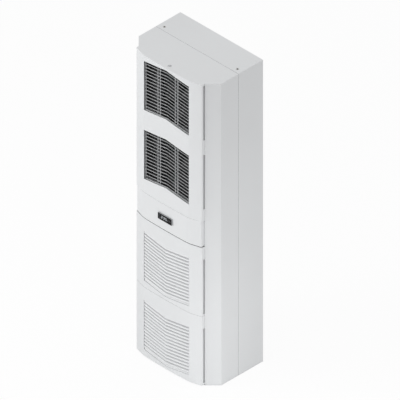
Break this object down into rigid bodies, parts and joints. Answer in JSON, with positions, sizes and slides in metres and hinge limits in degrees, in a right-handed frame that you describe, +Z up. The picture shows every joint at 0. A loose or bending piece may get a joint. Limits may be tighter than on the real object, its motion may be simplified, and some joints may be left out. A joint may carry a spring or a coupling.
{
  "type": "enclosure air conditioner",
  "caption": "Tall wall-mounted cooling unit for a control cabinet, with louvred outlet and intake covers, a digital controller, fans, coils and a compressor inside.",
  "frame": {"origin": "under the middle of the whole outline, at the height of the flat bottom", "axes": "+X to the right as seen from the front, +Y from the louvred front to the mounting face at the back, +Z up"},
  "size_m": [0.485, 0.3398, 1.532],
  "materials": {
    "casing_paint": "satin, fine texture",
    "cover_paint": "satin, fine texture",
    "grille_light": "satin",
    "display_black": "gloss",
    "bezel_grey": "satin",
    "housing_black": "matt",
    "key_black": "matt",
    "zinc_sheet": "zinc plated",
    "zinc_small": "zinc plated",
    "black_sheet": "matt",
    "fan_black": "matt",
    "motor_black": "satin",
    "coil": "mill finish",
    "copper": "bright drawn copper",
    "foam": "closed cell foam",
    "rubber": "matt",
    "filter": "layered expanded mesh",
    "device_grey": "matt"
  },
  "bodies": {
    "housing": {"rear_casing": "casing_paint", "rear_panel": "casing_paint", "rear_base_panel": "casing_paint", "front_shell": "casing_paint", "front_plate": "casing_paint", "upper_cover": "cover_paint", "display_panel": "cover_paint", "intake_cover_upper": "cover_paint", "intake_cover_lower": "cover_paint", "outlet_louvre_upper": "grille_light", "outlet_louvre_lower": "grille_light", "intake_louvre_upper": "grille_light", "intake_louvre_lower": "grille_light", "controller_bezel": "bezel_grey", "display_film": "display_black", "controller_body": "housing_black", "latch_tongue": "zinc_sheet", "lifting_inserts": "zinc_small", "mounting_inserts": "zinc_small", "cover_brackets": "zinc_sheet", "filter_mat_upper": "filter", "filter_mat_lower": "filter", "fan_shroud_upper": "black_sheet", "fan_shroud_lower": "black_sheet", "fan_motors": "motor_black", "partition_panel": "zinc_sheet", "cold_lining": "foam", "condenser_coil": "coil", "evaporator_coil": "coil", "condensate_tray": "zinc_sheet", "drain_tube": "rubber", "blower_motor": "motor_black", "inlet_plate": "zinc_sheet", "warm_air_grille": "housing_black", "cold_air_grille": "housing_black", "compressor": "motor_black", "compressor_pads": "rubber", "suction_line": "copper", "discharge_line": "copper", "liquid_line": "copper", "filter_drier": "copper", "electrical_box": "zinc_sheet", "terminal_block": "device_grey", "contactor": "device_grey", "capacitor": "device_grey", "rear_gasket": "foam", "cable_entry": "rubber"},
    "upper_fan": {"fan_impeller_upper": "fan_black"},
    "lower_fan": {"fan_impeller_lower": "fan_black"},
    "enclosure_blower": {"blower_impeller": "fan_black"},
    "latch": {"quarter_turn": "cover_paint"},
    "up_key": {"key_up": "key_black"},
    "down_key": {"key_down": "key_black"}
  },
  "joints": [
    {"name": "upper_fan_spin", "type": "hinge", "parent": "housing", "child": "upper_fan", "pos_m": [0, -0.104, 1.3775], "axis": [0, 1, 0], "continuous": true},
    {"name": "lower_fan_spin", "type": "hinge", "parent": "housing", "child": "lower_fan", "pos_m": [0, -0.104, 1.0275], "axis": [0, 1, 0], "continuous": true},
    {"name": "blower_spin", "type": "hinge", "parent": "housing", "child": "enclosure_blower", "pos_m": [0, 0.13, 1.36], "axis": [0, 1, 0], "continuous": true},
    {"name": "latch_turn", "type": "hinge", "parent": "housing", "child": "latch", "pos_m": [0, -0.14015, 1.528], "axis": [0, 0, 1], "range_deg": [0, 90]},
    {"name": "up_key_press", "type": "slide", "parent": "housing", "child": "up_key", "axis": [0, 1, 0], "range_m": [0, 0.0006], "stiffness_N_per_m": 400},
    {"name": "down_key_press", "type": "slide", "parent": "housing", "child": "down_key", "axis": [0, 1, 0], "range_m": [0, 0.0006], "stiffness_N_per_m": 400}
  ]
}
